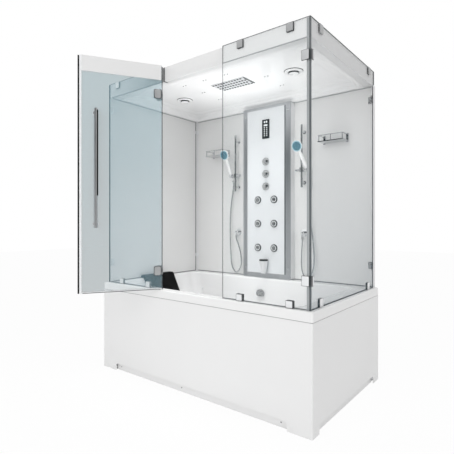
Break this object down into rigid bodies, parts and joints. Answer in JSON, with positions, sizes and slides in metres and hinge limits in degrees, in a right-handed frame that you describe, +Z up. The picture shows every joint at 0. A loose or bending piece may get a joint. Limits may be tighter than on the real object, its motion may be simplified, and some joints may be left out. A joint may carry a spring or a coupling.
{
  "type": "steam shower cabin",
  "caption": "Rectangular steam shower cabin over a massage bath, with clear glass on two sides, a hinged glass door, a fittings column and a domed roof.",
  "frame": {"origin": "on the floor under the centre of the bath's footprint, on the sole of the middle levelling foot", "axes": "+Z up, +X along the bath to its glazed end, +Y to the wall behind; the door is in the -Y face"},
  "size_m": [1.7, 1.423, 2.1],
  "materials": {
    "white_acrylic": "glossy white moulded acrylic",
    "white_panel": "smooth white sheet",
    "clear_glass": "clear toughened glass",
    "chrome": "polished",
    "aluminium": "satin",
    "frame_steel": "galvanised",
    "black_foam": "matt black",
    "black_gloss": "glossy black",
    "white_plastic": "glossy white",
    "grey_plastic": "matt grey",
    "seal_rubber": "soft grey",
    "brass": "cast"
  },
  "bodies": {
    "cabin": {"bath_tub": "white_acrylic", "front_apron": "white_acrylic", "end_apron": "white_acrylic", "base_frame": "frame_steel", "waste_overflow_set": "white_plastic", "bath_pump": "grey_plastic", "steam_generator": "frame_steel", "headrest": "black_foam", "left_wall_panel": "white_panel", "back_wall_panel": "white_panel", "rear_corner_profile": "aluminium", "left_fixed_glass": "clear_glass", "right_fixed_glass": "clear_glass", "end_glass": "clear_glass", "end_glass_channel": "aluminium", "front_corner_profile": "aluminium", "roof_panel": "white_acrylic", "header_frame": "white_acrylic", "rain_head": "chrome", "ceiling_speaker_left": "white_plastic", "ceiling_speaker_right": "white_plastic", "column_housing": "aluminium", "column_front_panel": "white_panel", "control_keypad": "black_gloss", "steam_outlet": "chrome", "valve_manifold": "brass", "jet_manifold": "chrome", "shelf_left": "chrome", "shelf_right": "chrome", "slide_rail_left": "chrome", "slide_rail_right": "chrome", "wall_elbow_left": "chrome", "wall_elbow_right": "chrome", "hinge_fixed_leaf_upper": "chrome", "hinge_fixed_leaf_lower": "chrome", "shower_hose_left": "chrome", "shower_hose_right": "chrome"},
    "door": {"door_glass": "clear_glass", "door_top_band": "white_panel", "door_handle": "chrome", "door_seal": "seal_rubber", "hinge_door_leaf_upper": "chrome", "hinge_door_leaf_lower": "chrome"},
    "plug": {"drain_plug": "chrome"},
    "overflow_turn_knob": {"overflow_knob": "chrome"},
    "valve_upper": {"valve_knob_upper": "chrome"},
    "valve_middle": {"valve_knob_middle": "chrome"},
    "valve_lower": {"valve_knob_lower": "chrome"},
    "jet_left_top": {"jet_nozzle_left_top": "chrome"},
    "jet_right_top": {"jet_nozzle_right_top": "chrome"},
    "jet_left_middle": {"jet_nozzle_left_middle": "chrome"},
    "jet_right_middle": {"jet_nozzle_right_middle": "chrome"},
    "jet_left_bottom": {"jet_nozzle_left_bottom": "chrome"},
    "jet_right_bottom": {"jet_nozzle_right_bottom": "chrome"},
    "slider_left": {"rail_slider_left": "chrome"},
    "holder_left": {"holder_socket_left": "chrome"},
    "handset_left": {"handset_left": "white_plastic"},
    "slider_right": {"rail_slider_right": "chrome"},
    "holder_right": {"holder_socket_right": "chrome"},
    "handset_right": {"handset_right": "white_plastic"}
  },
  "joints": [
    {"name": "door_hinge", "type": "hinge", "parent": "cabin", "child": "door", "pos_m": [-0.2485, -0.4766, 1.33], "axis": [0, 0, 1], "range_deg": [-13.6, 121.4]},
    {"name": "overflow_turn", "type": "hinge", "parent": "cabin", "child": "overflow_turn_knob", "pos_m": [-0.025, 0.3735, 0.51], "axis": [0, -1, 0], "range_deg": [0, 90]},
    {"name": "plug_lift", "type": "slide", "parent": "cabin", "child": "plug", "axis": [0, 0, 1], "range_m": [0, 0.012]},
    {"name": "valve_turn_upper", "type": "hinge", "parent": "cabin", "child": "valve_upper", "pos_m": [-0.0125, 0.4254, 1.558], "axis": [0, -1, 0], "range_deg": [-90, 90]},
    {"name": "valve_turn_middle", "type": "hinge", "parent": "cabin", "child": "valve_middle", "pos_m": [-0.0125, 0.4254, 1.459], "axis": [0, -1, 0], "range_deg": [-90, 90]},
    {"name": "valve_turn_lower", "type": "hinge", "parent": "cabin", "child": "valve_lower", "pos_m": [-0.0125, 0.4254, 1.359], "axis": [0, -1, 0], "range_deg": [-90, 90]},
    {"name": "jet_tilt_left_top", "type": "hinge", "parent": "cabin", "child": "jet_left_top", "pos_m": [-0.0885, 0.427, 1.253], "axis": [1, 0, 0], "range_deg": [-15, 15]},
    {"name": "jet_tilt_right_top", "type": "hinge", "parent": "cabin", "child": "jet_right_top", "pos_m": [0.0635, 0.427, 1.253], "axis": [1, 0, 0], "range_deg": [-15, 15]},
    {"name": "jet_tilt_left_middle", "type": "hinge", "parent": "cabin", "child": "jet_left_middle", "pos_m": [-0.0885, 0.427, 1.061], "axis": [1, 0, 0], "range_deg": [-15, 15]},
    {"name": "jet_tilt_right_middle", "type": "hinge", "parent": "cabin", "child": "jet_right_middle", "pos_m": [0.0635, 0.427, 1.061], "axis": [1, 0, 0], "range_deg": [-15, 15]},
    {"name": "jet_tilt_left_bottom", "type": "hinge", "parent": "cabin", "child": "jet_left_bottom", "pos_m": [-0.0885, 0.427, 0.868], "axis": [1, 0, 0], "range_deg": [-15, 15]},
    {"name": "jet_tilt_right_bottom", "type": "hinge", "parent": "cabin", "child": "jet_right_bottom", "pos_m": [0.0635, 0.427, 0.868], "axis": [1, 0, 0], "range_deg": [-15, 15]},
    {"name": "slider_slide_left", "type": "slide", "parent": "cabin", "child": "slider_left", "axis": [0, 0, 1], "range_m": [-0.06, 0.22], "deforming": ["shower_hose_left"]},
    {"name": "holder_tilt_left", "type": "hinge", "parent": "slider_left", "child": "holder_left", "pos_m": [-0.3695, 0.44, 1.468], "axis": [1, 0, 0], "range_deg": [-20, 20]},
    {"name": "handset_lift_left", "type": "slide", "parent": "holder_left", "child": "handset_left", "axis": [0, -0.4695, 0.8829], "range_m": [0, 0.06]},
    {"name": "slider_slide_right", "type": "slide", "parent": "cabin", "child": "slider_right", "axis": [0, 0, 1], "range_m": [-0.06, 0.22], "deforming": ["shower_hose_right"]},
    {"name": "holder_tilt_right", "type": "hinge", "parent": "slider_right", "child": "holder_right", "pos_m": [0.3445, 0.44, 1.468], "axis": [1, 0, 0], "range_deg": [-20, 20]},
    {"name": "handset_lift_right", "type": "slide", "parent": "holder_right", "child": "handset_right", "axis": [-0.176, -0.4695, 0.8652], "range_m": [0, 0.06]}
  ],
  "couplings": [
    {"joint": "plug_lift", "follows": "overflow_turn", "m_per_rad": 0.00763}
  ]
}
